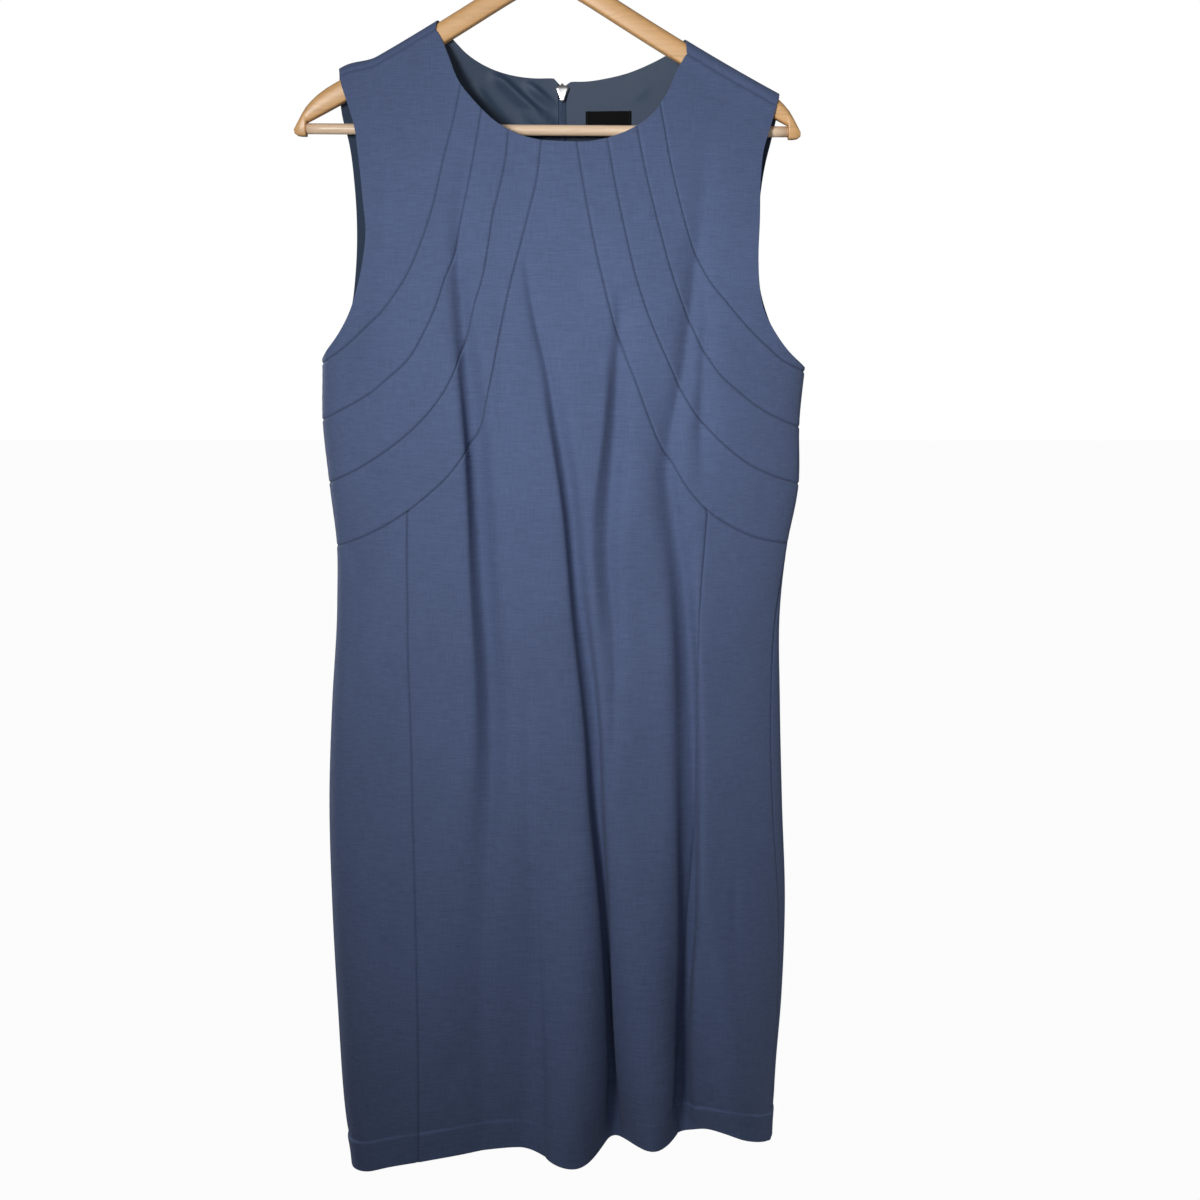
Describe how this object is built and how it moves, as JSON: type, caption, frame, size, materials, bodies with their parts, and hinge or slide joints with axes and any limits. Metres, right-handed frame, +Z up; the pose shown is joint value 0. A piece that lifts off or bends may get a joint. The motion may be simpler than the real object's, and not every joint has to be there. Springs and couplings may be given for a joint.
{
  "type": "sheath dress on hanger",
  "caption": "Sleeveless sheath dress with fanned seams from the neck, back zip and lined upper back, hanging on a wooden hanger with a trouser bar.",
  "frame": {"origin": "inner top of the hanger's hook, where it hangs on a rail", "axes": "+Z up, the front of the dress towards -Y, +X to the right in a view of the front"},
  "size_m": [0.444, 0.1436, 1.1439],
  "materials": {
    "dress_cloth": "matte woven crepe",
    "lining": "smooth satin lining",
    "zip_tape": "woven tape",
    "label": "woven, bare",
    "zip_metal": "polished",
    "hanger_wood": "satin varnish",
    "bar_wood": "satin varnish",
    "hook_metal": "polished"
  },
  "bodies": {
    "dress": {"front_centre": "dress_cloth", "front_band_left_1": "dress_cloth", "front_band_left_2": "dress_cloth", "front_band_left_3": "dress_cloth", "front_band_right_1": "dress_cloth", "front_band_right_2": "dress_cloth", "front_band_right_3": "dress_cloth", "front_yoke_left": "dress_cloth", "front_yoke_right": "dress_cloth", "front_skirt_left": "dress_cloth", "front_skirt_right": "dress_cloth", "back_left": "dress_cloth", "back_right": "dress_cloth", "lining_back_left": "lining", "lining_back_right": "lining", "zip_tape": "zip_tape", "label": "label", "zip_slider": "zip_metal", "hanger_arm_left": "hanger_wood", "hanger_arm_right": "hanger_wood", "hanger_bar": "bar_wood", "hanger_hook": "hook_metal"},
    "pull_tab": {"zip_pull": "zip_metal"}
  },
  "joints": [
    {"name": "pull_tab_swing", "type": "hinge", "parent": "dress", "child": "pull_tab", "pos_m": [0.0125, 0.02626, -0.1874], "axis": [1, 0, 0], "range_deg": [0, 150]}
  ]
}
